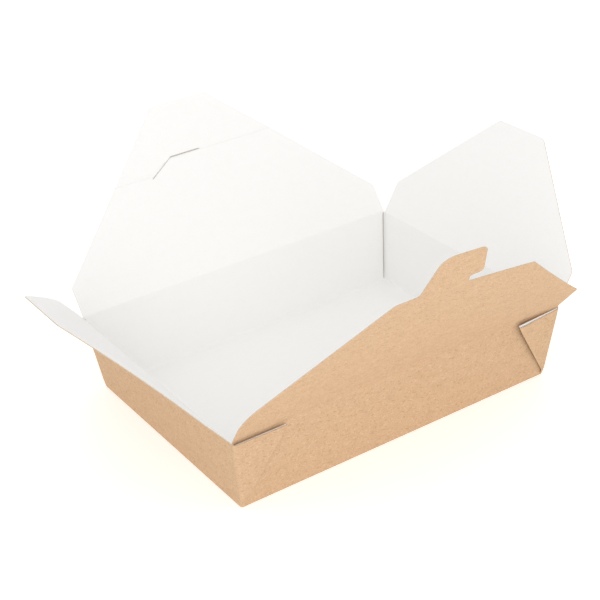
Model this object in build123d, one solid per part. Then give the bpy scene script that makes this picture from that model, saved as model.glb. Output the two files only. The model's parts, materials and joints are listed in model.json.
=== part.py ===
from build123d import *
from math import atan, cos, degrees, radians, sin, tan
import os

# Takeaway box, folded from one die-cut sheet of coated kraft board. The tray's walls flare, and its
# four corner webs are folded flat against the long walls. Four lid flaps hinge on the folds at the
# rim: a long flap with a locking tab at the front, a long flap with a slit at the back, and a plain
# flap at each end. Millimetres, +X to the right along the front, -Y to the front, +Z up, origin at
# the middle of the base's underside.

# ---- board ----
BOARD = 0.45                # thickness of the board
FOLD_INSIDE = 0.30          # inside radius of a right-angled fold
POCKET_GAP = 0.30           # air between the two layers of a folded corner web
FOLD_GAP = 0.20             # air between a hinge fold and the wall's edge below it

# ---- tray ----
BASE_LENGTH = 203.6         # over the end walls' outsides, at the base
BASE_WIDTH = 150.0          # over the long walls' outsides, at the base
RIM_LENGTH = 215.0          # over the end walls' outsides, at the rim
RIM_WIDTH = 162.0           # over the long walls' outsides, at the rim
RIM_HEIGHT = 45.5           # height of the long flaps' folds
END_STEP = 0.70             # how much lower the end flaps' folds are
WEB_DROP = 1.0              # how far the webs' top edges lie below the rim
WEB_START = 3.0             # height at which the two layers of a web part

# ---- long flaps ----
LONG_SIDE_GAP = 0.12        # air between a long flap's sides and the end flaps' folds
CORNER_ROUND = 2.5          # rounding of the flaps' outer corners
FRONT_REST = 56.5           # angle above horizontal at rest, leaning outwards
FRONT_REACH = 88.0          # fold to the edge that the tab stands on
FRONT_SIDE = 22.0           # straight side of the front flap, before its slanted edge
FRONT_TOP = 82.0            # length of the edge that the tab stands on
BACK_REST = 55.0
BACK_SIDE = 17.5            # straight side of the back flap, before its slanted edge
BACK_TOP = 38.0             # length of the back flap's top edge
BACK_BEYOND_SLIT = 32.5     # slit to top edge

# ---- locking tab, along the front fold and up from the edge it stands on ----
TAB_NECK_LEFT = -26.8
TAB_HEAD_LEFT = (-25.5, 31.3)
TAB_HEAD_RIGHT = (-1.5, 32.3)
TAB_HOOK = (7.5, 6.5)       # point of the hook, which catches beyond the slit's right end
TAB_NOTCH_TOP = -0.5        # right side of the neck, under the hook
TAB_NOTCH_FOOT = 2.0        # right side of the neck, at its root

# ---- slit that takes the tab's neck, and the creases beside it ----
LOCK_PLAY = 0.6             # how far the slit lies inside the notch with the lid closed
SLIT_PLAY_RIGHT = 0.7       # slit beyond the neck's right side
SLIT_PLAY_LEFT = 7.0        # slit beyond the neck's left side
SLIT_SLANT = (15.0, 9.0)    # the slit's left end slants down to the flap's fold
SLIT_WIDTH = 0.8
CREASE_RISE = 1.5           # left crease above the slit's left end
CREASE_DEPTH = 0.15
CREASE_WIDTH = 1.1

# ---- end flaps ----
END_SIDE_GAP = 0.35         # air between an end flap's sides and the long walls' insides
END_SIDE = 20.5             # straight side of an end flap, before its slanted edge
END_REACH = 81.5            # fold to top edge
END_TOP = 38.0              # length of the top edge
RIGHT_REST = 58.0
LEFT_REST = 47.8

# ---- worked out from the sizes above ----
LEAN_X = atan((RIM_LENGTH - BASE_LENGTH) / 2 / RIM_HEIGHT)    # end walls, from upright
LEAN_Y = atan((RIM_WIDTH - BASE_WIDTH) / 2 / RIM_HEIGHT)      # long walls, from upright
WEB_OUT = 2 * BOARD + POCKET_GAP                              # how far a web stands out
END_LEVEL = RIM_HEIGHT - END_STEP
LONG_FOLD_Y = BASE_WIDTH / 2 + RIM_HEIGHT * tan(LEAN_Y) - BOARD / 2 / cos(LEAN_Y)
END_FOLD_X = BASE_LENGTH / 2 + END_LEVEL * tan(LEAN_X) - BOARD / 2 / cos(LEAN_X)
LONG_HALF = END_FOLD_X - BOARD / 2 - LONG_SIDE_GAP            # half length of a long flap's fold
SLIT_UP = 2 * LONG_FOLD_Y - FRONT_REACH - LOCK_PLAY           # back fold to slit


def half_length(z, out=0.0):
    """Half length at a level, of the end walls' outsides moved out square to themselves."""
    return BASE_LENGTH / 2 + z * tan(LEAN_X) + out / cos(LEAN_X)


def half_width(z, out=0.0):
    """Half width at a level, of the long walls' outsides moved out square to themselves."""
    return BASE_WIDTH / 2 + z * tan(LEAN_Y) + out / cos(LEAN_Y)


def flared_block(z0, z1, out_x, out_y):
    """Solid with four sides parallel to the walls, out_x and out_y beyond their outsides."""
    rings = []
    for z in (z0, z1):
        x, y = half_length(z, out_x), half_width(z, out_y)
        rings.append([(-x, -y, z), (x, -y, z), (x, y, z), (-x, y, z)])
    low, high = rings
    sides = [[low[i], low[i - 3], high[i - 3], high[i]] for i in range(4)]
    return Solid(Shell([Face(Wire.make_polygon(points)) for points in [low, high, *sides]]))


def web_prism(inset):
    """Slabs across the box, as seen from the front: each holds the webs at one end.

    A web's edge is a diagonal fold, which starts at the base's corner and halves the web's angle.
    """
    slant_x, slant_y = RIM_HEIGHT / cos(LEAN_X), RIM_HEIGHT / cos(LEAN_Y)
    side_lean_x = atan((RIM_LENGTH - BASE_LENGTH) / 2 / slant_y)
    side_lean_y = atan((RIM_WIDTH - BASE_WIDTH) / 2 / slant_x)
    web_angle = radians(90) - side_lean_x - side_lean_y
    diagonal = web_angle / 2 - side_lean_x
    top = RIM_HEIGHT + 1
    foot_x = half_length(0) - inset / cos(diagonal)
    head_x = foot_x - top / cos(LEAN_Y) * tan(diagonal)
    beyond = RIM_LENGTH
    outline = [(foot_x, 0), (beyond, 0), (beyond, top), (head_x, top)]
    slab = extrude(Plane.XZ * make_face(Polyline(outline, close=True)), RIM_WIDTH, both=True)
    return slab + mirror(slab, Plane.YZ)


def upright_edges(block):
    """The four corner edges of a flared block."""
    return block.edges().filter_by(lambda edge: abs(edge.tangent_at(0.5).Z) > 0.5)


def build_tray():
    """Base, four flared walls, and the four webs folded back on the long walls' outsides."""
    top = RIM_HEIGHT + 1
    fold_top = BOARD / 2 + FOLD_GAP
    fold_outside = BOARD + FOLD_INSIDE
    block = flared_block(0, top, 0, 0)
    tray = fillet(block.faces().sort_by(Axis.Z)[0].edges() + upright_edges(block), fold_outside)
    webs = flared_block(fold_outside, RIM_HEIGHT - WEB_DROP, 0, WEB_OUT)
    tray += fillet(upright_edges(webs), fold_outside) & web_prism(0)

    tray -= flared_block(BOARD, top, -BOARD, -BOARD)
    pocket = flared_block(WEB_START, top, -BOARD, BOARD + POCKET_GAP)
    pocket -= flared_block(0, top + 1, BOARD, BOARD)
    tray -= pocket & web_prism(BOARD)
    slit = flared_block(WEB_START, top, -BOARD, BOARD + POCKET_GAP)
    slit -= flared_block(0, top + 1, -BOARD - POCKET_GAP, WEB_OUT * 2)
    tray -= slit
    above_long = flared_block(RIM_HEIGHT - fold_top, top + 1, WEB_OUT * 2, WEB_OUT * 2)
    above_ends = flared_block(END_LEVEL - fold_top, top + 1, WEB_OUT * 2, WEB_OUT * 2)
    above_ends -= flared_block(0, top + 2, -BOARD - POCKET_GAP, WEB_OUT * 3)
    return tray - above_long - above_ends


def flap_plane(out, reach, level, angle):
    """Plane of a flap: x along its fold, y up the flap, z out of the kraft side."""
    out = Vector(*out)
    normal = out * sin(radians(angle)) - Vector(0, 0, 1) * cos(radians(angle))
    origin = out * reach + Vector(0, 0, level)
    return Plane(origin=origin, x_dir=Vector(0, 0, 1).cross(out), z_dir=normal)


def card(outline, half_fold):
    """Board cut to an outline of (x, y, corner radius), with a round root along the fold."""
    points = [(x, y) for x, y, _ in outline]
    radii = [radius for _, _, radius in outline]
    sheet = make_face(FilletPolyline(*points, radius=radii, close=True))
    root = Plane.YZ * Circle(BOARD / 2)
    return extrude(sheet, BOARD / 2, both=True) + extrude(root, half_fold, both=True)


def crease(x0, x1, y):
    """Groove of a crease pressed into the coated side, along the flap."""
    section = [(y - CREASE_WIDTH / 2, 0), (y + CREASE_WIDTH / 2, 0), (y, CREASE_DEPTH)]
    groove = extrude(Plane.YZ * make_face(Polyline(section, close=True)), x1 - x0)
    return Pos(x0, 0, -BOARD / 2) * groove


def lid_outline(half, side, reach, top):
    """Corners of a flap with straight sides and slanted edges, from its right side to its left."""
    return [(half, 0, 0), (half, side, CORNER_ROUND), (top / 2, reach, CORNER_ROUND),
            (-top / 2, reach, CORNER_ROUND), (-half, side, CORNER_ROUND), (-half, 0, 0)]


def build_back_flap():
    """Long flap with a slit for the tab, and a crease each side of the slit."""
    flap = card(lid_outline(LONG_HALF, BACK_SIDE, SLIT_UP + BACK_BEYOND_SLIT, BACK_TOP), LONG_HALF)
    right = TAB_NOTCH_TOP + SLIT_PLAY_RIGHT
    left = TAB_NECK_LEFT - SLIT_PLAY_LEFT
    low = SLIT_UP - SLIT_SLANT[1]
    path = [(-right, SLIT_UP), (-left - SLIT_SLANT[0], SLIT_UP), (-left, low)]
    flap -= extrude(trace(Polyline(*path), SLIT_WIDTH), BOARD, both=True)
    flap -= crease(-LONG_HALF, -right - SLIT_WIDTH, SLIT_UP)
    flap -= crease(-left, LONG_HALF, low + CREASE_RISE)
    return flap_plane((0, 1, 0), LONG_FOLD_Y, RIM_HEIGHT, BACK_REST) * flap


def build_front_flap():
    """Long flap with a hooked tab standing on its top edge."""
    sides = lid_outline(LONG_HALF, FRONT_SIDE, FRONT_REACH, FRONT_TOP)
    tab = [(TAB_NOTCH_FOOT, 0, 1.5), (TAB_NOTCH_TOP, TAB_HOOK[1], 2.0), (*TAB_HOOK, 1.5),
           (*TAB_HEAD_RIGHT, 5.0), (*TAB_HEAD_LEFT, 7.0), (TAB_NECK_LEFT, 0, 2.0)]
    tab = [(x, FRONT_REACH + y, radius) for x, y, radius in tab]
    flap = card(sides[:3] + tab + sides[3:], LONG_HALF)
    return flap_plane((0, -1, 0), LONG_FOLD_Y, RIM_HEIGHT, FRONT_REST) * flap


def build_end_flap(side, angle):
    """Plain flap at one end, which tucks in under the long flaps."""
    half = half_width(END_LEVEL, -BOARD) - END_SIDE_GAP
    flap = card(lid_outline(half, END_SIDE, END_REACH, END_TOP), half)
    return flap_plane((side, 0, 0), END_FOLD_X, END_LEVEL, angle) * flap


PARTS = {
    "tray": build_tray(),
    "front_flap": build_front_flap(),
    "back_flap": build_back_flap(),
    "left_flap": build_end_flap(-1, LEFT_REST),
    "right_flap": build_end_flap(1, RIGHT_REST),
}

os.makedirs("parts", exist_ok=True)
for name, part in PARTS.items():
    part.label = name
    export_step(part, f"parts/{name}.step")
    box = part.bounding_box()
    print(f"{name}: {len(part.solids())} solid, valid {part.is_valid}, {part.volume:.1f} mm3,",
          f"{box.size.X:.2f} x {box.size.Y:.2f} x {box.size.Z:.2f}")
print(f"long folds: y {LONG_FOLD_Y:.4f}, z {RIM_HEIGHT:.4f}")
print(f"end folds: x {END_FOLD_X:.4f}, z {END_LEVEL:.4f}")
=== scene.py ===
import json
import math

import bpy
import numpy as np
from mathutils import Matrix, Vector


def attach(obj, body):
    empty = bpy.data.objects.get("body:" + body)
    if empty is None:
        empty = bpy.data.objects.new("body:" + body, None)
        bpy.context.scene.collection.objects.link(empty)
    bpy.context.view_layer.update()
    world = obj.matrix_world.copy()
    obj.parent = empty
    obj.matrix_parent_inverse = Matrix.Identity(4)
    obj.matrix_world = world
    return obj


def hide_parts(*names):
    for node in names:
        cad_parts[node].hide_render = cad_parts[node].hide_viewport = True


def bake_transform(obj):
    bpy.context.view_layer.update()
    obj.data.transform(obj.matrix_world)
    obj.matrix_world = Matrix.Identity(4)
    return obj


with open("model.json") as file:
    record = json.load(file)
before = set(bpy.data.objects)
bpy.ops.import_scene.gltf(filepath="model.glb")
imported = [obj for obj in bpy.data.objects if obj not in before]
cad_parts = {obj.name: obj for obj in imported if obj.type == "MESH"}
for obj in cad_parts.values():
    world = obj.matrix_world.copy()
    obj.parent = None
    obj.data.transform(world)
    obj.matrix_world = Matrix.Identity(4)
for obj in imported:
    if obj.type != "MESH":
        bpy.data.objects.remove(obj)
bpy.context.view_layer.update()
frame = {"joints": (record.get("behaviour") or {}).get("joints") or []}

# ---------------------------------------------------------------- camera, floor and light
# A white table top under a wide soft sky of light, with one large soft lamp from the front left,
# as in a packshot. The camera stands at the near left corner and looks down on the open box.
CAMERA_AZIMUTH = math.radians(-32.18)
CAMERA_ELEVATION = math.radians(28.90)
CAMERA_ROLL = math.radians(-3.83)
CAMERA_DISTANCE = 0.83896
CAMERA_TARGET = Vector((-0.00273, 0.01347, 0.04799))
CAMERA_LENS = 88.61

back = Vector((math.sin(CAMERA_AZIMUTH) * math.cos(CAMERA_ELEVATION),
               -math.cos(CAMERA_AZIMUTH) * math.cos(CAMERA_ELEVATION),
               math.sin(CAMERA_ELEVATION)))
level_right = (-back).cross(Vector((0, 0, 1))).normalized()
level_up = level_right.cross(-back)
right = level_right * math.cos(CAMERA_ROLL) + level_up * math.sin(CAMERA_ROLL)
up = level_up * math.cos(CAMERA_ROLL) - level_right * math.sin(CAMERA_ROLL)
bpy.ops.object.camera_add()
camera = bpy.context.object
camera.data.lens = CAMERA_LENS
camera.data.sensor_width = 36
camera.data.clip_start = 0.05
camera.data.clip_end = 20
camera.matrix_world = (Matrix.Translation(CAMERA_TARGET + back * CAMERA_DISTANCE)
                       @ Matrix((right, up, back)).transposed().to_4x4())
bpy.context.scene.camera = camera
bpy.context.scene.view_settings.view_transform = "Standard"

SKY_STRENGTH = 0.80
world = bpy.data.worlds.new("studio_sky")
bpy.context.scene.world = world
world.use_nodes = True
sky = world.node_tree.nodes["Background"]
sky.inputs["Color"].default_value = (1, 1, 1, 1)
sky.inputs["Strength"].default_value = SKY_STRENGTH


def soft_lamp(name, place, aim, size, power):
    """Square area lamp that faces a point of the box."""
    bpy.ops.object.light_add(type="AREA", location=place)
    lamp = bpy.context.object
    lamp.name = name
    lamp.data.size = size
    lamp.data.energy = power
    lamp.rotation_mode = "QUATERNION"
    lamp.rotation_quaternion = (Vector(aim) - Vector(place)).to_track_quat("-Z", "Y")


soft_lamp("key_lamp", place=(-0.85, -1.4, 0.85), aim=(0, 0, 0.03), size=1.2, power=9.3)
soft_lamp("top_lamp", place=(0.3, 0.5, 1.9), aim=(0, 0, 0.03), size=1.6, power=2.2)


def node_material(name, roughness):
    """New material of one roughness, and its Principled shader."""
    material = bpy.data.materials.new(name)
    material.use_nodes = True
    shader = material.node_tree.nodes["Principled BSDF"]
    shader.inputs["Roughness"].default_value = roughness
    return material, shader


def colour(red, green, blue):
    """Linear colour of an sRGB one, which is given from 0 to 255."""
    shares = [c / 255 for c in (red, green, blue)]
    return [c / 12.92 if c < 0.04045 else ((c + 0.055) / 1.055) ** 2.4 for c in shares] + [1]


FLOOR_SIZE = 8
FLOOR_DROP = 0.00002            # air under the box, so that its base and the floor stay apart
FLOOR_GLOW = 0.34               # light that the table top gives back beyond the lamps' own
bpy.ops.mesh.primitive_plane_add(size=FLOOR_SIZE, location=(0, 0, -FLOOR_DROP))
floor = bpy.context.object
floor.name = "studio_floor"
floor_white, floor_shader = node_material("floor_white", 0.9)
floor_shader.inputs["Base Color"].default_value = colour(250, 250, 250)
floor_shader.inputs["Emission Color"].default_value = (1, 1, 1, 1)
floor_shader.inputs["Emission Strength"].default_value = FLOOR_GLOW
floor.data.materials.append(floor_white)

# ---------------------------------------------------------------- tray
# One die-cut sheet of 0.45 mm kraft board, coated white inside: a base and four flared walls.
# Each corner's web is folded in half and laid flat on the outside of the long wall, then glued.
MM = 0.001
BOARD = 0.45 * MM               # thickness
FOLD = 0.525 * MM               # radius of the base's folds, at the middle of the board
CORNER = 2.0 * MM               # radius of the upright corners, where the webs turn to the end walls
HEM = 0.25 * MM                 # radius of the fold at a long wall's ends
POCKET = 0.35 * MM              # radius of the fold along a web's diagonal
CORNER_SLIT = 0.30 * MM         # air between a long wall's end and the end wall
CORNER_INSET = 0.45 * MM        # how much further in the wall ends, clear of the round corner
WEB_DROP = 1.0 * MM             # how far the webs' top edges lie below the long flaps' folds
RIM_STRIP = 2.0 * MM            # strip of wall below a long fold that is made with its flap
BASE_CORNER = 1.3 * MM          # how blunt the base's corners are, where three folds meet
BASE_LENGTH = 203.6 * MM        # over the outsides, as are the next three
BASE_WIDTH = 150.0 * MM
RIM_LENGTH = 215.0 * MM
RIM_WIDTH = 162.0 * MM
# at each web's top: its gap to the wall beside the corner, how much further its diagonal stands off,
# and the radius of the diagonal's fold
WEB_SPRING = {(1, -1): (0.20 * MM, 1.90 * MM, 0.55 * MM),
              (-1, -1): (1.10 * MM, 0.10 * MM, 0.40 * MM),
              (1, 1): (0.20 * MM, 0.30 * MM, 0.45 * MM),
              (-1, 1): (0.10 * MM, 0.20 * MM, 0.40 * MM)}
# how much lower the top edge of each web's outer layer lies than that of its inner layer
WEB_LOWERED = {(1, -1): 1.1 * MM, (-1, -1): 0.25 * MM, (1, 1): 0.1 * MM, (-1, 1): 0.1 * MM}
WEB_FULL_WIDTH = 3.5 * MM       # width below which a web shrinks into the base's corner
WEB_RISE_OVER = 5 * MM          # height over which the webs stretch up to their tops
WEB_SPRING_POWER = 0.6          # how low down the wall the diagonals begin to stand off
LEVEL_CROWDING = 1.35           # how much closer together the tray's levels lie near its base

joints = {joint["child"]: joint for joint in frame["joints"]}
long_fold = Vector(joints["front_flap"]["pos_m"])
end_fold = Vector(joints["right_flap"]["pos_m"])
rim_height = long_fold.z
lean_x = math.atan((RIM_LENGTH - BASE_LENGTH) / 2 / rim_height)
lean_y = math.atan((RIM_WIDTH - BASE_WIDTH) / 2 / rim_height)
tray_top = rim_height - RIM_STRIP

# the diagonal halves the web's angle, which starts at the base's corner
side_lean_x = math.atan((RIM_LENGTH - BASE_LENGTH) / 2 / (rim_height / math.cos(lean_y)))
side_lean_y = math.atan((RIM_WIDTH - BASE_WIDTH) / 2 / (rim_height / math.cos(lean_x)))
diagonal = (math.radians(90) - side_lean_x - side_lean_y) / 2 - side_lean_x
web_slope = math.tan(lean_x) + math.tan(diagonal) / math.cos(lean_y)    # web's width by its height

ALONG, ACROSS = 26, 20                            # quads along a long wall and an end wall
HEM_STEPS, PANEL_STEPS, FOLD_STEPS = 6, 8, 8      # quads round a hem, over a web's layer, round a corner
STEP_START, STEP_WIDTH = 0.85 * MM, 0.05 * MM     # where a web's top edge steps down beside an end flap
WALL_ROWS, BASE_ROWS = 22, 5                      # rows of quads up a wall and round a base fold
WEB_STEPS = 2 * HEM_STEPS + 2 * PANEL_STEPS + FOLD_STEPS
HALF_WEB = HEM_STEPS + PANEL_STEPS + HEM_STEPS // 2    # quads from a long wall's end to the diagonal
ROUND = 2 * ALONG + 2 * ACROSS + 4 * WEB_STEPS


def arc(centre, radius, start, end, steps):
    """Points round an arc, its first one left out."""
    turns = np.radians(np.linspace(start, end, steps + 1)[1:])
    return [(centre[0] + radius * math.cos(a), centre[1] + radius * math.sin(a)) for a in turns]


def straight(start, end, steps):
    """Points along a line, its first one left out."""
    return [tuple(point) for point in np.linspace(start, end, steps + 1)[1:]]


def web_path(z, gap, spring, top_radius):
    """Level section of one web, as (in from the end wall, out from the long wall) at mid-board.

    It runs from the long wall's end, round the hem, over the inner layer, round the diagonal, back
    over the outer layer and round the corner to the end wall. Near the base it shrinks to a point.
    """
    up_wall = max(z, 0) / rim_height
    width = max(z * web_slope, WEB_FULL_WIDTH)
    radius = POCKET + (top_radius - POCKET) * up_wall
    hem = HEM + gap / 2 * up_wall
    hem_in = BOARD + CORNER_SLIT + hem + CORNER_INSET
    inner, outer = 2 * hem, 2 * hem + 2 * POCKET
    tip_in = width - BOARD - radius
    tip_out = inner + spring * up_wall ** WEB_SPRING_POWER + radius
    path = [(hem_in, 0.0)]
    path += arc((hem_in, hem), hem, 270, 90, HEM_STEPS)
    path += straight(path[-1], (tip_in, tip_out - radius), PANEL_STEPS)
    path += arc((tip_in, tip_out), radius, -90, 90, HEM_STEPS)
    path += straight(path[-1], (CORNER, outer), PANEL_STEPS)
    path += arc((CORNER, outer - CORNER), CORNER, 90, 180, FOLD_STEPS - 2)
    path += [(0, -STEP_START), (0, -STEP_START - STEP_WIDTH)]
    opened = min(1, max(z, 0) * web_slope / WEB_FULL_WIDTH)
    blunt = [(BASE_CORNER, 0)] * (WEB_STEPS + 1 - FOLD_STEPS)
    blunt += arc((BASE_CORNER, -BASE_CORNER), BASE_CORNER, 90, 180, FOLD_STEPS)
    # at the very base the whole web is one point, half way round the corner's arc
    if z == 0:
        blunt = [(BASE_CORNER * 0.3, -BASE_CORNER * 0.3)] * (WEB_STEPS + 1)
    return np.array(path) * opened + np.array(blunt) * (1 - opened)


def web_rises(lowered_by):
    """How far each point of a web's top edge stands above the walls' tops, from the long wall on."""
    rise = np.zeros(WEB_STEPS + 1)
    first = HEM_STEPS // 2 + 1
    rise[first:-1] = RIM_STRIP - WEB_DROP
    rise[first] /= 2
    lowered = np.interp(np.arange(WEB_STEPS + 1), [HALF_WEB, HALF_WEB + 2, HALF_WEB + 4, WEB_STEPS - 2],
                        [0, 0.8, 1, 0])
    return list(rise - lowered * lowered_by)


# the webs rise past the walls' tops, which are made with the flaps
rises = []
for corner, steps in (((1, -1), ALONG), ((1, 1), ACROSS), ((-1, 1), ALONG), ((-1, -1), ACROSS)):
    web_rise = web_rises(WEB_LOWERED[corner])
    rises += [0] * steps + (web_rise if steps == ALONG else web_rise[::-1])[:-1]
rises = np.array(rises + [0])


def ring(half_x, half_y, z, closed_web=False):
    """Level section of the whole tray at mid-board, from the front wall's left end round to it."""
    webs = {corner: web_path(0 if closed_web else z, *spring) for corner, spring in WEB_SPRING.items()}

    def point(corner, path_point):
        return (corner[0] * (half_x - path_point[0]), corner[1] * (half_y + path_point[1]))

    points = []
    stops = [(-1, -1), (1, -1), (1, 1), (-1, 1), (-1, -1)]
    for side, (start, end) in enumerate(zip(stops, stops[1:])):
        runs_along = side % 2 == 0
        first, last = (0, 0) if runs_along else (-1, -1)
        a = point(start, webs[start][first])
        b = point(end, webs[end][last])
        wall = np.linspace(a, b, (ALONG if runs_along else ACROSS) + 1)
        web = webs[end] if runs_along else webs[end][::-1]
        points += [tuple(p) for p in wall[:-1]] + [point(end, p) for p in web[:-1]]
    points.append(points[0])
    stretch = max(0, (z - tray_top + WEB_RISE_OVER) / WEB_RISE_OVER)
    return [(x, y, z + rise) for (x, y), rise in zip(points, rises * stretch)]


def half_x_at(z):
    """Half the tray's length at a height, at mid-board."""
    return BASE_LENGTH / 2 + z * math.tan(lean_x) - BOARD / 2 / math.cos(lean_x)


def half_y_at(z):
    """Half the tray's width at a height, at mid-board."""
    return BASE_WIDTH / 2 + z * math.tan(lean_y) - BOARD / 2 / math.cos(lean_y)


fold_centre = BOARD / 2 + FOLD
rows = []
for turn in np.linspace(0, math.radians(90) - (lean_x + lean_y) / 2, BASE_ROWS, endpoint=False):
    reach = FOLD * (math.sin(turn) - 1 / math.cos(lean_x))
    z = fold_centre - FOLD * math.cos(turn)
    rows.append((half_x_at(fold_centre) + reach, half_y_at(fold_centre) + reach, z))
wall_foot = fold_centre - FOLD * math.sin((lean_x + lean_y) / 2)
for share in np.linspace(0, 1, WALL_ROWS + 1):
    z = wall_foot + (tray_top - wall_foot) * share ** LEVEL_CROWDING
    rows.append((half_x_at(z), half_y_at(z), z))
sections = np.array([ring(x, y, z, closed_web=index == 0) for index, (x, y, z) in enumerate(rows)])

bpy.ops.object.select_all(action="DESELECT")
bpy.ops.mesh.primitive_grid_add(x_subdivisions=ROUND, y_subdivisions=len(rows) - 1, size=1)
tray = bpy.context.object
tray.name = "tray_board"


def vertex_array(mesh):
    """Places of a mesh's points, one row each."""
    co = np.empty(len(mesh.vertices) * 3)
    mesh.vertices.foreach_get("co", co)
    return co.reshape(-1, 3)


def place_vertices(mesh, points):
    """Moves each point of a mesh to its row of points."""
    mesh.vertices.foreach_set("co", np.asarray(points, np.float32).ravel())
    mesh.update()


def set_layout(mesh, loop_uv):
    """UV map that holds each place on the flat blank, in metres."""
    while mesh.uv_layers:
        mesh.uv_layers.remove(mesh.uv_layers[0])
    layer = mesh.uv_layers.new(name="blank")
    layer.uv.foreach_set("vector", np.asarray(loop_uv, np.float32).ravel())


def mark_points(mesh, name, amount):
    """Named attribute that says how creased or crushed the board is at each point, from 0 to 1."""
    attribute = mesh.attributes.new(name, "FLOAT", "POINT")
    attribute.data.foreach_set("value", np.asarray(amount, np.float32))


flat = vertex_array(tray.data)
column = np.rint((flat[:, 0] + 0.5) * ROUND).astype(int)
row = np.rint((flat[:, 1] + 0.5) * (len(rows) - 1)).astype(int)
place_vertices(tray.data, sections[row, column])

# flat layout: each wall's own length, plus what its folds and web layers unroll to
seams = [ALONG + HALF_WEB,
         ALONG + WEB_STEPS + ACROSS + WEB_STEPS - HALF_WEB,
         2 * ALONG + ACROSS + 2 * WEB_STEPS + HALF_WEB,
         ROUND - HALF_WEB]
starts = [0, ALONG + WEB_STEPS, ALONG + ACROSS + 2 * WEB_STEPS, 2 * ALONG + ACROSS + 3 * WEB_STEPS]
lengths = np.linalg.norm(np.diff(sections, axis=1), axis=2)
travelled = np.concatenate([np.zeros((len(rows), 1)), np.cumsum(lengths, axis=1)], axis=1)
PANELS_APART = 0.5              # metres between the panels' patches of the layout
mesh = tray.data
corner_of_loop = np.empty(len(mesh.loops), int)
mesh.loops.foreach_get("vertex_index", corner_of_loop)
face_of_loop = np.repeat(np.arange(len(mesh.polygons)), 4)
middle_column = column[corner_of_loop].reshape(-1, 4).mean(1)[face_of_loop]
panel = np.searchsorted(seams, middle_column) % 4
fold_height = np.array([long_fold.z, end_fold.z])[panel % 2]
slant = np.cos([lean_y, lean_x])[panel % 2]
loop_row, loop_column = row[corner_of_loop], column[corner_of_loop]
wall_steps = np.array([ALONG, ACROSS, ALONG, ACROSS])[panel]
middle = (travelled[loop_row, np.array(starts)[panel]]
          + travelled[loop_row, np.array(starts)[panel] + wall_steps]) / 2
wrapped = (panel == 0) & (middle_column > seams[3])
along = travelled[loop_row, loop_column] - middle - wrapped * travelled[loop_row, -1]
height = (sections[loop_row, loop_column, 2] - fold_height) / slant
set_layout(mesh, np.stack([along + panel * PANELS_APART, height], axis=1))

# creased along the webs' diagonals, and less so along the base's folds and round the corners
CORNER_CREASE = 0.2
BASE_CREASE = 0.8
fold_columns = np.zeros(ROUND + 1)
for start, steps, runs_along in zip(starts, (ALONG, ACROSS, ALONG, ACROSS), (1, 0, 1, 0)):
    web_start = start + steps
    bend_start = web_start + (WEB_STEPS - FOLD_STEPS if runs_along else 0)
    fold_columns[bend_start:bend_start + FOLD_STEPS + 1] = CORNER_CREASE
    tip = web_start + (HEM_STEPS + PANEL_STEPS if runs_along else FOLD_STEPS + PANEL_STEPS)
    fold_columns[tip:tip + HEM_STEPS + 1] = 1
in_base_fold = row <= BASE_ROWS
mark_points(mesh, "crease", np.maximum(fold_columns[column], in_base_fold * BASE_CREASE))

# painted shade: the sprung web's diagonal is coloured dark brown on the side that faces the wall, for the
# shade in the gap between web and wall
sprung_tip = ALONG + HEM_STEPS + PANEL_STEPS
on_diagonal = (column >= sprung_tip - 2) & (column <= sprung_tip + 3)
mark_points(mesh, "painted_shade_kraft", on_diagonal & ~in_base_fold)

# painted shade: the coating beside the back right corner's slit is greyed on both sides, for the shade in
# that slit, and shows as a grey line inside the box
CORNER_PAINTED_SHADE = 0.55
from_wall = starts[2] - column
by_wall_end = (1 <= from_wall) & (from_wall < HEM_STEPS)
by_end_wall = (WEB_STEPS - FOLD_STEPS < from_wall) & (from_wall < WEB_STEPS - 3)
mark_points(mesh, "painted_shade_coating", ((by_wall_end | by_end_wall) & ~in_base_fold) * CORNER_PAINTED_SHADE)

# base panel, inside the folds
bpy.ops.object.select_all(action="DESELECT")
bpy.ops.mesh.primitive_grid_add(x_subdivisions=ALONG, y_subdivisions=ACROSS, size=2)
base = bpy.context.object
base_half = sections[0, 0, :2] * (-1, -1)
base_points = vertex_array(base.data) * (*base_half, 0) + (0, 0, rows[0][2])
place_vertices(base.data, base_points)
base.data.flip_normals()
base_loops = np.empty(len(base.data.loops), int)
base.data.loops.foreach_get("vertex_index", base_loops)
set_layout(base.data, base_points[base_loops][:, :2] + (4 * PANELS_APART, 0))
edge_distance = np.min(base_half - abs(base_points[:, :2]), axis=1)
AT_EDGE = 1e-6
mark_points(base.data, "crease", (edge_distance < AT_EDGE) * BASE_CREASE)

tray.select_set(True)
bpy.context.view_layer.objects.active = tray
bpy.ops.object.join()
bpy.ops.object.mode_set(mode="EDIT")
bpy.ops.mesh.select_all(action="SELECT")
SEAM_MERGE = 0.002 * MM
bpy.ops.mesh.remove_doubles(threshold=SEAM_MERGE)
bpy.ops.object.mode_set(mode="OBJECT")

SMOOTH_ANGLE = math.radians(40)


def make_board(card):
    """Thickness and finishes of the board: kraft outside, white coating inside, and cut edges."""
    for finish in (kraft, coating, cut_edge):
        card.data.materials.append(finish)
    bpy.ops.object.select_all(action="DESELECT")
    card.select_set(True)
    bpy.context.view_layer.objects.active = card
    thicken = card.modifiers.new("board", "SOLIDIFY")
    thicken.thickness = BOARD
    thicken.offset = 0
    # the outer face keeps the first finish, the inner face takes the second, and the edges the third
    thicken.material_offset = 1
    thicken.material_offset_rim = 2
    bpy.ops.object.modifier_apply(modifier=thicken.name)
    bpy.ops.object.shade_smooth_by_angle(angle=SMOOTH_ANGLE)


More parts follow.
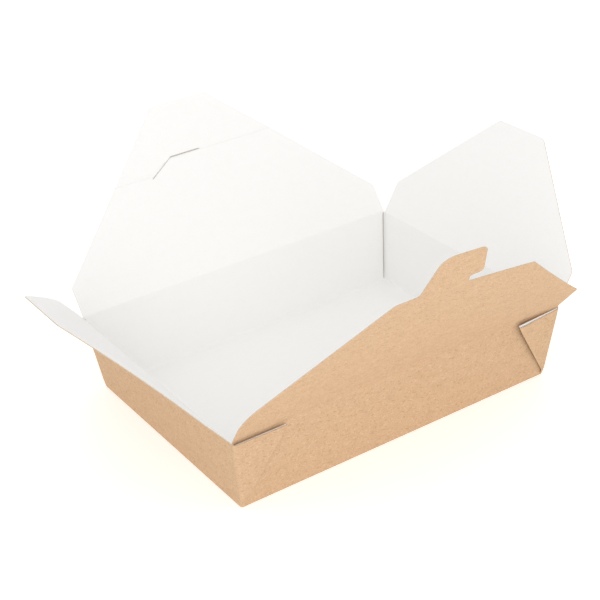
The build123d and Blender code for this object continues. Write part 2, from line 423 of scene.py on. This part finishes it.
def add_node(tree, kind, settings=None, feeds=None, **values):
    """New node in a tree: its settings, and for its sockets the sockets that feed them or plain values.

    feeds names a socket, or numbers it where its node has several of one name.
    """
    node = tree.nodes.new(kind)
    for key, value in (settings or {}).items():
        setattr(node, key, value)
    for key, value in values.items():
        node.inputs[key.replace("_", " ")].default_value = value
    for key, source in (feeds or {}).items():
        if isinstance(source, bpy.types.NodeSocket):
            tree.links.new(source, node.inputs[key])
        else:
            node.inputs[key].default_value = source
    return node


def maths(tree, operation, *terms):
    """What one Math node makes of its terms, each a socket or a number."""
    return add_node(tree, "ShaderNodeMath", {"operation": operation},
                    dict(enumerate(terms))).outputs["Value"]


def mix_colours(tree, share, first, second):
    """The first colour, turned into the second one by a share."""
    return add_node(tree, "ShaderNodeMix", {"data_type": "RGBA"},
                    {"Factor": share, "A": first, "B": second}).outputs["Result"]


def pulp_group():
    """Colour and height of paper pulp: fibres, flecks, a slow mottle, and scattered specks."""
    group = bpy.data.node_groups.new("paper_pulp", "ShaderNodeTree")
    for name, kind in (("Base", "NodeSocketColor"), ("Light", "NodeSocketColor"),
                       ("Dark", "NodeSocketColor"), ("Fibres", "NodeSocketFloat"),
                       ("Flecks", "NodeSocketFloat"), ("Mottle", "NodeSocketFloat")):
        group.interface.new_socket(name, in_out="INPUT", socket_type=kind)
    group.interface.new_socket("Colour", in_out="OUTPUT", socket_type="NodeSocketColor")
    group.interface.new_socket("Height", in_out="OUTPUT", socket_type="NodeSocketFloat")
    given = group.nodes.new("NodeGroupInput").outputs
    result = group.nodes.new("NodeGroupOutput").inputs
    place = add_node(group, "ShaderNodeUVMap", {"uv_map": "blank"}).outputs["UV"]

    def stretched_noise(length, width, detail, turn=0.0):
        scaled = add_node(group, "ShaderNodeMapping", feeds={"Vector": place},
                          Scale=(1 / length, 1 / width, 1), Rotation=(0, 0, turn))
        noise = add_node(group, "ShaderNodeTexNoise", {"noise_dimensions": "2D"},
                         {"Vector": scaled.outputs["Vector"]}, Scale=1, Detail=detail, Roughness=0.6)
        return noise.outputs["Fac"]

    def spread(noise, low, high, bottom):
        """Noise between low and high, spread out from bottom to 1."""
        return add_node(group, "ShaderNodeMapRange", {"clamp": True}, {"Value": noise},
                        From_Min=low, From_Max=high, To_Min=bottom, To_Max=1).outputs["Result"]

    def swing(noise, amount, low, high):
        """Tone that swings both ways by an amount."""
        return maths(group, "MULTIPLY", spread(noise, low, high, -1), amount)

    def specks(length, width, turn):
        """Tone of the noise's peaks alone."""
        return maths(group, "MULTIPLY", spread(stretched_noise(length, width, 0, turn), 0.68, 0.80, 0),
                     given["Flecks"])

    fibres = swing(stretched_noise(2.6 * MM, 0.28 * MM, 3, 0.10), given["Fibres"], 0.25, 0.75)
    cross_fibres = swing(stretched_noise(0.35 * MM, 2.2 * MM, 3, -0.35), given["Fibres"], 0.25, 0.75)
    mottle = swing(stretched_noise(7 * MM, 4.5 * MM, 3), given["Mottle"], 0.3, 0.7)
    flecks = swing(stretched_noise(0.75 * MM, 0.55 * MM, 1), given["Flecks"], 0.2, 0.8)
    dark_specks = specks(2.0 * MM, 1.2 * MM, 0.5)
    light_specks = specks(1.7 * MM, 1.3 * MM, -0.9)
    tone = maths(group, "ADD", maths(group, "ADD", fibres, cross_fibres), maths(group, "ADD", mottle, flecks))
    tone = maths(group, "ADD", tone, light_specks)
    lighter = maths(group, "MAXIMUM", tone, 0)
    darker = maths(group, "MULTIPLY_ADD", maths(group, "MINIMUM", tone, 0), -1, dark_specks)
    lightened = mix_colours(group, lighter, given["Base"], given["Light"])
    darkened = mix_colours(group, darker, lightened, given["Dark"])
    group.links.new(darkened, result["Colour"])
    group.links.new(tone, result["Height"])
    return group


paper_pulp = pulp_group()


def paper_finish(name, base, light, dark, fibres, flecks, mottle, roughness, relief, worn=0.0,
                 painted_shade_where=None, painted_shade=None):
    """Finish of one face of the board: pulp colour and relief, paler where creased, with painted shade where
    an attribute asks for it.

    base, light and dark are the pulp's colours, worn is how far a crease turns to the light one, and
    the last two arguments name the attribute that says where shade is painted on and give the colour of that
    painted shade.
    """
    material, shader = node_material(name, roughness)
    tree = material.node_tree
    pulp = add_node(tree, "ShaderNodeGroup", {"node_tree": paper_pulp},
                    Base=base, Light=light, Dark=dark, Fibres=fibres, Flecks=flecks, Mottle=mottle)
    crease = add_node(tree, "ShaderNodeAttribute", {"attribute_name": "crease"})
    wear = maths(tree, "MULTIPLY", crease.outputs["Fac"], worn)
    face = mix_colours(tree, wear, pulp.outputs["Colour"], light)
    # painted shade: the face turns to the last colour where the named attribute says
    if painted_shade_where:
        painted_shade_mask = add_node(tree, "ShaderNodeAttribute", {"attribute_name": painted_shade_where})
        face = mix_colours(tree, painted_shade_mask.outputs["Fac"], face, painted_shade)
    bump = add_node(tree, "ShaderNodeBump", feeds={"Height": pulp.outputs["Height"]},
                    Strength=1, Distance=relief)
    tree.links.new(face, shader.inputs["Base Color"])
    tree.links.new(bump.outputs["Normal"], shader.inputs["Normal"])
    return material


# the kraft's last colour, a dark brown, is painted shade for the gap beside the sprung web
kraft = paper_finish("kraft_face", base=colour(203, 169, 133), light=colour(226, 199, 165),
                     dark=colour(156, 118, 83), fibres=0.05, flecks=0.30, mottle=0.10, roughness=0.82,
                     relief=0.010 * MM, worn=0.08, painted_shade_where="painted_shade_kraft",
                     painted_shade=colour(92, 64, 40))
# the coating's last colour, a grey, is painted shade for the slits and just below the creases
coating = paper_finish("white_coating", base=colour(250, 249, 247), light=colour(252, 252, 251),
                       dark=colour(226, 223, 218), fibres=0.05, flecks=0.04, mottle=0.04, roughness=0.48,
                       relief=0.003 * MM, worn=0.10, painted_shade_where="painted_shade_coating",
                       painted_shade=colour(168, 166, 158))
cut_edge = paper_finish("cut_edge", base=colour(206, 184, 160), light=colour(226, 208, 186),
                        dark=colour(168, 142, 114), fibres=0.25, flecks=0.20, mottle=0.10,
                        roughness=0.90, relief=0.010 * MM)
make_board(tray)
# nothing of the thickened board reaches below the table
tray_points = vertex_array(tray.data)
tray_points[:, 2] = np.maximum(tray_points[:, 2], 0)
place_vertices(tray.data, tray_points)
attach(tray, "tray")
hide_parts("tray")

# ---------------------------------------------------------------- front flap
# Long lid flap, one sheet with the front wall, which it joins at a pressed fold. Its slanted sides
# lead to an edge with a hooked tab. The box has been opened, so its right half curls outwards.
FOLD_EASE = 0.35 * MM           # half length of a hinge fold's round, along the board
FOLD_CREASE = 0.7 * MM          # how far from a fold's line the board is creased
ROUNDING_STEPS = 5
MERGE = 0.01 * MM               # distance at which two points are one
UP_STEP, ALONG_STEP = 5 * MM, 6 * MM    # between the cuts that let a flap bend
FRONT_REACH = 88.0 * MM         # fold to the edge that the tab stands on
FRONT_SIDE = 22.0 * MM          # straight side, before the slanted edge
FRONT_TOP = 82.0 * MM           # length of the edge that the tab stands on
CORNER_ROUND = 2.5 * MM
FRONT_ANGLE = 56.7              # degrees above level, over the left half
FRONT_CURL = 8.2                # degrees by which the right end leans out further
FRONT_CURL_START = -30 * MM     # where that curl begins, left of the middle
FRONT_CURL_POWER = 1.42         # how much it gathers towards the right end
FRONT_LEFT_ROUND = 24 * MM      # the left side's corner is a long soft round
LONG_SIDE_GAP = 0.12 * MM       # air beside the tray's end walls
FOOT_CLIP, FOOT_CLIP_TOP = 1.3 * MM, -0.85 * MM    # width of a clipped foot, and its top end's level
# the tab's corners from its notch round to its left foot, in millimetres from the middle of the
# edge that it stands on, each with its rounding
TAB = [((2.0, 0), 1.5), ((-0.5, 6.5), 2.0), ((7.5, 6.5), 3.0), ((-1.5, 32.3), 5.0),
       ((-25.5, 31.3), 7.0), ((-26.8, 0), 2.0)]
TAB_SHEET = 40 * MM             # board left beyond that edge, for the tab to be cut from
long_half = end_fold.x - BOARD / 2 - LONG_SIDE_GAP
long_foot = -RIM_STRIP / math.cos(lean_y)


def edit_mesh(card):
    bpy.ops.object.select_all(action="DESELECT")
    card.select_set(True)
    bpy.context.view_layer.objects.active = card
    bpy.ops.object.mode_set(mode="EDIT")


def select_by(card, kind, test):
    """Selects only the faces or vertices whose place passes a test, in edit mode."""
    bpy.ops.mesh.select_mode(type="FACE" if kind == "faces" else "VERT")
    bpy.ops.mesh.select_all(action="DESELECT")
    bpy.ops.object.mode_set(mode="OBJECT")
    if kind == "faces":
        for face in card.data.polygons:
            face.select = bool(test(face.center))
    else:
        for vertex in card.data.vertices:
            vertex.select = bool(test(vertex.co))
    bpy.ops.object.mode_set(mode="EDIT")


def cut(start, end, keep_all=False):
    """Cuts what is selected along a line. What lies to its right is cut away, unless all is kept."""
    way = Vector(end) - Vector(start)
    bpy.ops.mesh.bisect(plane_co=(*start, 0), plane_no=(way.y, -way.x, 0), threshold=MERGE / 10,
                        clear_outer=not keep_all)


def blank(name, half, foot, reach):
    """Plain strip of board, laid flat: x along the fold, y up the flap, the fold at y = 0."""
    bpy.ops.object.select_all(action="DESELECT")
    bpy.ops.mesh.primitive_plane_add(size=1)
    card = bpy.context.object
    card.name = name
    place_vertices(card.data, vertex_array(card.data) * (2 * half, reach - foot, 0)
                   + (0, (reach + foot) / 2, 0))
    edit_mesh(card)
    bpy.ops.mesh.select_all(action="SELECT")
    return card


def clip_feet(half, foot):
    """Slants the strip's lower corners, which stand clear of the tray's round corners."""
    cut((half - FOOT_CLIP, foot), (half, FOOT_CLIP_TOP))
    bpy.ops.mesh.select_all(action="SELECT")
    cut((-half, FOOT_CLIP_TOP), (-half + FOOT_CLIP, foot))
    bpy.ops.mesh.select_all(action="SELECT")


def round_corner(card, place, radius):
    """Rounds the outline's corner at a place, as a cutting die does."""
    select_by(card, "vertices", lambda co: (co.xy - Vector(place)).length < MERGE)
    corner = next(v for v in card.data.vertices if (v.co.xy - Vector(place)).length < MERGE)
    beside = [card.data.vertices[i].co - corner.co for edge in card.data.edges
              if corner.index in edge.vertices for i in edge.vertices if i != corner.index]
    half_angle = beside[0].angle(beside[1]) / 2
    bpy.ops.mesh.bevel(offset=radius / math.tan(half_angle), offset_type="OFFSET",
                       segments=ROUNDING_STEPS, profile=0.5, affect="VERTICES")


def slice_up(levels, stations):
    """Cuts the card into small faces, so that it can bend: across at levels, and up at stations."""
    bpy.ops.mesh.select_mode(type="FACE")
    for level in levels:
        bpy.ops.mesh.select_all(action="SELECT")
        cut((0, level), (1, level), keep_all=True)
    for station in stations:
        bpy.ops.mesh.select_all(action="SELECT")
        cut((station, 0), (station, 1), keep_all=True)


def fold_levels(foot):
    """Levels close together over the fold, within the strip that starts at foot."""
    near = [-1.2, -0.9, -0.6, -0.35, -0.18, 0, 0.18, 0.35, 0.6, 0.9, 1.3, 2.0, 3.2, 5.0]
    return [level * MM for level in near if level * MM > foot + 0.1 * MM]


def even_steps(start, end, step):
    """Values at even steps between two others, without those two."""
    count = max(1, round((end - start) / step))
    return list(np.linspace(start, end, count + 1)[1:-1])


def chord(length, start, end):
    """Outward and upward run of an arc of board, from its slope at one end to that at the other."""
    half_turn = (end - start) / 2
    share = np.sinc(half_turn / np.pi)
    return length * share * np.cos((start + end) / 2), length * share * np.sin((start + end) / 2)


def raise_flap(card, fold, out, lean, angle, bow=0.0, reach=0.1, press=None):
    """Stands the flat card up on its wall, with a round fold and the flap's own slope and bow.

    angle is in degrees above level, one value or one a point. bow is how many degrees flatter the
    flap's top is than its foot. press gives how far points stand out of the outer face.
    """
    flat_points = vertex_array(card.data)
    u, h = flat_points[:, 0], flat_points[:, 1]
    wall = math.radians(90) - lean
    root = np.radians(angle)
    over_fold = np.clip(h + FOLD_EASE, 0, 2 * FOLD_EASE)
    over_flap = np.clip(h - FOLD_EASE, 0, None)
    below = np.minimum(h, -FOLD_EASE)
    fold_end = wall + (root - wall) * over_fold / (2 * FOLD_EASE)
    flap_end = root - np.radians(bow) * over_flap / reach
    fold_run, fold_rise = chord(over_fold, wall, fold_end)
    flap_run, flap_rise = chord(over_flap, root, flap_end)
    outward = below * math.cos(wall) + fold_run + flap_run
    upward = below * math.sin(wall) + fold_rise + flap_rise
    if press is not None:
        stand = press(u, h)
        outward = outward + stand * np.sin(flap_end)
        upward = upward - stand * np.cos(flap_end)
    out = Vector(out)
    side = Vector((0, 0, 1)).cross(out)
    points = (np.array(fold) + np.outer(u, side) + np.outer(outward, out)
              + np.outer(upward, (0, 0, 1)))
    return flat_points, points


def finish_flap(card, body, fold, out, lean, angle, panel, creased, slot, painted_shade=None, **shape):
    """Folds the flat card up, gives it its layout and thickness, and hides the body's imported part."""
    bpy.ops.object.mode_set(mode="OBJECT")
    flat_points, points = raise_flap(card, fold, out, lean, angle, **shape)
    loops = np.empty(len(card.data.loops), int)
    card.data.loops.foreach_get("vertex_index", loops)
    set_layout(card.data, flat_points[loops][:, :2] + (panel * PANELS_APART, 0))
    mark_points(card.data, "crease", creased(flat_points[:, 0], flat_points[:, 1]))
    # painted shade on the coating, where the given function says
    if painted_shade is not None:
        mark_points(card.data, "painted_shade_coating", painted_shade(flat_points[:, 0], flat_points[:, 1]))
    place_vertices(card.data, points)
    make_board(card)
    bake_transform(card)
    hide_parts(body)


def at_fold(u, h):
    """How creased the board is by the fold at its foot."""
    return np.exp(-(h / FOLD_CREASE) ** 2)


tab = [((x * MM, FRONT_REACH + y * MM), radius * MM) for (x, y), radius in TAB]
notch_foot, notch_top, hook, head_right, head_left, neck_left = [place for place, _ in tab]
front = blank("front_flap_board", long_half, long_foot, FRONT_REACH + TAB_SHEET)
clip_feet(long_half, long_foot)
slice_up([FRONT_REACH, notch_top[1]], [neck_left[0], notch_foot[0], notch_top[0]])
# the flap, the tab's neck and its head are cut out one by one, and joined again
bands = {"flap": (-1, FRONT_REACH), "neck": (FRONT_REACH, notch_top[1]), "head": (notch_top[1], 1)}
outlines = {"flap": [((long_half, FRONT_SIDE), (FRONT_TOP / 2, FRONT_REACH)),
                     ((-FRONT_TOP / 2, FRONT_REACH), (-long_half, FRONT_SIDE))],
            "neck": [(notch_foot, notch_top), (head_left, neck_left)],
            "head": [(hook, head_right), (head_right, head_left), (head_left, neck_left)]}
for low, high in bands.values():
    select_by(front, "faces", lambda co: low < co.y < high)
    bpy.ops.mesh.split()
for band, lines in outlines.items():
    for start, end in lines:
        select_by(front, "faces", lambda co: bands[band][0] < co.y < bands[band][1])
        cut(start, end)
bpy.ops.mesh.select_all(action="SELECT")
bpy.ops.mesh.remove_doubles(threshold=MERGE)
bpy.ops.mesh.select_all(action="SELECT")
bpy.ops.mesh.dissolve_limited(angle_limit=math.radians(0.5))
corners = [((-long_half, FRONT_SIDE), FRONT_LEFT_ROUND), ((long_half, FRONT_SIDE), CORNER_ROUND),
           ((-FRONT_TOP / 2, FRONT_REACH), CORNER_ROUND), ((FRONT_TOP / 2, FRONT_REACH), CORNER_ROUND)]
for place, radius in tab + corners:
    round_corner(front, place, radius)
slice_up(fold_levels(long_foot) + even_steps(UP_STEP, FRONT_REACH, UP_STEP) + [FRONT_REACH]
         + even_steps(FRONT_REACH, head_right[1], 4 * MM),
         even_steps(-long_half, long_half, ALONG_STEP))


def front_slope(u):
    """Slope over the front flap: the curl grows from left of the middle to the right end."""
    share = np.clip((u - FRONT_CURL_START) / (long_half - FRONT_CURL_START), 0, 1)
    return FRONT_ANGLE - FRONT_CURL * share ** FRONT_CURL_POWER


bpy.ops.object.mode_set(mode="OBJECT")
front_angle = front_slope(vertex_array(front.data)[:, 0])
bpy.ops.object.mode_set(mode="EDIT")
finish_flap(front, "front_flap", (0, long_fold.y, long_fold.z), (0, -1, 0), lean_y, front_angle, 0,
            at_fold, "kraft_board")

# ---------------------------------------------------------------- back flap
# Long lid flap on the back wall, the outermost but one when the lid is shut. Its slit takes the
# front flap's tab, and a crease runs out from each end of the slit to let the board bend there.
BACK_ANGLE = 55.0               # degrees above level
BACK_SIDE = 17.5 * MM           # straight side, before the slanted edge
BACK_TOP = 38.0 * MM            # length of the top edge
BACK_BEYOND_SLIT = 32.5 * MM    # from the slit's level part to the top edge
LOCK_PLAY = 0.6 * MM            # play between the tab's foot and the slit, with the lid shut
SLIT_WIDTH = 0.06 * MM
SLIT_SHADE_STRIP = 15                # width of the cut strip beside the slit's slant, over which its painted shade fades, by half the slit's width
SLIT_LIP = 0.55 * MM            # how much further in the slit's upper lip stands than its lower one
SLIT_LIP_FADE = 3.0 * MM        # height over which that fades out
SLIT_RIGHT = -0.2 * MM          # ends of the slit, along the fold as the flap's own x runs
SLIT_BEND = 18.8 * MM
SLIT_LEFT = 33.8 * MM
SLIT_SLANT = 9.0 * MM           # how far the slit's left end slants down
CREASE_RISE = 1.5 * MM          # left crease above the slit's left end
CREASE_WIDTH = 1.1 * MM
CREASE_DEPTH = 0.22 * MM
CREASE_WORN = 0.5 * MM          # how far from a crease's line it is worn
CREASE_SHADE = 0.08             # how grey the painted shade just below a crease is
SLIT_STEP = 1.5 * MM            # between the cuts beside the slit
CREASE_BEND = 1.6               # degrees by which the board beyond the creases leans out further
slit_up = -2 * long_fold.y - FRONT_REACH - LOCK_PLAY
slit_low = slit_up - SLIT_SLANT
back_reach = slit_up + BACK_BEYOND_SLIT
back_flap = blank("back_flap_board", long_half, long_foot, back_reach)
clip_feet(long_half, long_foot)
cut((long_half, BACK_SIDE), (BACK_TOP / 2, back_reach))
bpy.ops.mesh.select_all(action="SELECT")
cut((-BACK_TOP / 2, back_reach), (-long_half, BACK_SIDE))
for side in (-1, 1):
    for place in ((side * long_half, BACK_SIDE), (side * BACK_TOP / 2, back_reach)):
        round_corner(back_flap, place, CORNER_ROUND)
crease_low = slit_low + CREASE_RISE
slit_bands = [level + side * half_band for level in (slit_up, crease_low)
              for side in (-1, 1) for half_band in (CREASE_WIDTH / 2, SLIT_WIDTH / 2)]
near_slit = 2 * SLIT_STEP
slice_up(fold_levels(long_foot) + even_steps(UP_STEP, slit_low, UP_STEP)
         + even_steps(slit_low - near_slit, slit_up, SLIT_STEP) + [slit_up, crease_low] + slit_bands
         + [slit_up + SLIT_STEP, slit_up + near_slit]
         + even_steps(slit_up + near_slit, back_reach, 4.5 * MM),
         even_steps(-long_half, SLIT_RIGHT, ALONG_STEP) + [SLIT_RIGHT, SLIT_RIGHT - SLIT_STEP]
         + even_steps(SLIT_RIGHT, SLIT_BEND, 2 * MM) + [SLIT_BEND]
         + even_steps(SLIT_BEND, SLIT_LEFT, 2 * MM) + [SLIT_LEFT, SLIT_LEFT + SLIT_STEP]
         + even_steps(SLIT_LEFT, long_half, ALONG_STEP))
slant_way = Vector((SLIT_LEFT - SLIT_BEND, slit_low - slit_up)).normalized()
slant_side = Vector((-slant_way.y, slant_way.x))


def off_slant(co):
    """Distance from the slit's slanted line, and how far along it a place is."""
    away = co.xy - Vector((SLIT_BEND, slit_up))
    return away.dot(slant_side), away.dot(slant_way)


for away in (-1 - SLIT_SHADE_STRIP, -1, 1, 1 + SLIT_SHADE_STRIP):
    select_by(back_flap, "faces", lambda co: SLIT_BEND - near_slit < co.x < SLIT_LEFT
              and slit_low - SLIT_STEP < co.y < slit_up + near_slit)
    start = Vector((SLIT_BEND, slit_up)) + slant_side * away * SLIT_WIDTH / 2
    cut(start, start + slant_way, keep_all=True)


def in_slit(co):
    """Whether a place lies in the slit's level part or in its slanted one."""
    across, onward = off_slant(co)
    slanted = abs(across) < SLIT_WIDTH / 2 and 0 < onward and co.x < SLIT_LEFT
    level = abs(co.y - slit_up) < SLIT_WIDTH / 2 and SLIT_RIGHT < co.x < SLIT_BEND
    return slanted or level


select_by(back_flap, "faces", in_slit)
bpy.ops.mesh.delete(type="FACE")
bpy.ops.mesh.select_all(action="SELECT")
bpy.ops.mesh.remove_doubles(threshold=MERGE)


def crease_line(u):
    """Height of the line on which the back flap bends: right crease, slit, left crease."""
    return np.interp(u, [SLIT_BEND, SLIT_LEFT], [slit_up, crease_low])


def back_press(u, h):
    """Creases pressed into the outer face, the board beyond them leaning out, and the slit's lips apart."""
    away = h - crease_line(u)
    beyond = np.clip(away, 0, None) * math.tan(math.radians(CREASE_BEND))
    beside_slit = (u > SLIT_LEFT) | (u < SLIT_RIGHT)
    groove = CREASE_DEPTH * np.exp(-(away / (CREASE_WIDTH / 2)) ** 2) * beside_slit
    middle, half = (SLIT_LEFT + SLIT_RIGHT) / 2, (SLIT_LEFT - SLIT_RIGHT) / 2
    along_slit = np.clip(4 - 4 * abs((u - middle) / half), 0, 1)
    lip = SLIT_LIP / 2 * along_slit * np.exp(-abs(away) / SLIT_LIP_FADE) * np.sign(away)
    return beyond - groove - lip


def slit_painted_shade(u, h):
    """Painted shade: grey on the coating right beside the slit, for the shade in the cut, and a faint grey
    just below the creases, for the shade under them.
    """
    slit_line = np.interp(u, [SLIT_BEND, SLIT_LEFT], [slit_up, slit_low])
    square = np.where(u > SLIT_BEND, abs(slant_way.x), 1)
    beside_line = abs(h - slit_line) * square < SLIT_WIDTH
    below_crease = abs(h - crease_line(u) + CREASE_WIDTH / 2) < SLIT_WIDTH
    over_slit = (u > SLIT_RIGHT - MERGE) & (u < SLIT_LEFT + MERGE)
    return np.where(over_slit, beside_line, below_crease * CREASE_SHADE)


def back_creased(u, h):
    """How creased the back flap is by its fold and by the creases beside the slit."""
    away = h - crease_line(u)
    beside_slit = (u > SLIT_LEFT) | (u < SLIT_RIGHT)
    return np.maximum(at_fold(u, h), np.exp(-(away / CREASE_WORN) ** 2) * beside_slit)


finish_flap(back_flap, "back_flap", (0, -long_fold.y, long_fold.z), (0, 1, 0), lean_y, BACK_ANGLE, 2,
            back_creased, "coated_board", painted_shade=slit_painted_shade, press=back_press)

# ---------------------------------------------------------------- end flaps
# The two plain end flaps fold in first and lie under the long flaps. The left one is bowed outwards
# by handling, and the right one stands nearly flat.
END_SIDE = 20.5 * MM            # straight side, before the slanted edge
END_REACH = 81.5 * MM           # fold to top edge
END_TOP = 38.0 * MM             # length of the top edge
END_SIDE_GAP = 0.70 * MM        # air beside the long walls' ends
end_foot = -(end_fold.z - tray_top) / math.cos(lean_x)
end_half = half_y_at(end_fold.z) - BOARD / 2 - END_SIDE_GAP


def build_end_flap(side, body, panel, rounding, angle, bow):
    """One end flap, at the right (1) or left (-1), with its corners' rounding, slope and bow."""
    card = blank(body + "_board", end_half, end_foot, END_REACH)
    cut((end_half, END_SIDE), (END_TOP / 2, END_REACH))
    bpy.ops.mesh.select_all(action="SELECT")
    cut((-END_TOP / 2, END_REACH), (-end_half, END_SIDE))
    for way in (-1, 1):
        round_corner(card, (way * end_half, END_SIDE), rounding)
        round_corner(card, (way * END_TOP / 2, END_REACH), rounding)
    slice_up(fold_levels(end_foot) + even_steps(UP_STEP, END_REACH, UP_STEP),
             even_steps(-end_half, end_half, ALONG_STEP))
    finish_flap(card, body, (side * end_fold.x, 0, end_fold.z), (side, 0, 0), lean_x, angle, panel,
                at_fold, "coated_board", bow=bow, reach=END_REACH)


build_end_flap(1, "right_flap", panel=1, rounding=5.0 * MM, angle=58.5, bow=1.0)
build_end_flap(-1, "left_flap", panel=3, rounding=3.0 * MM, angle=52.5, bow=10.0)
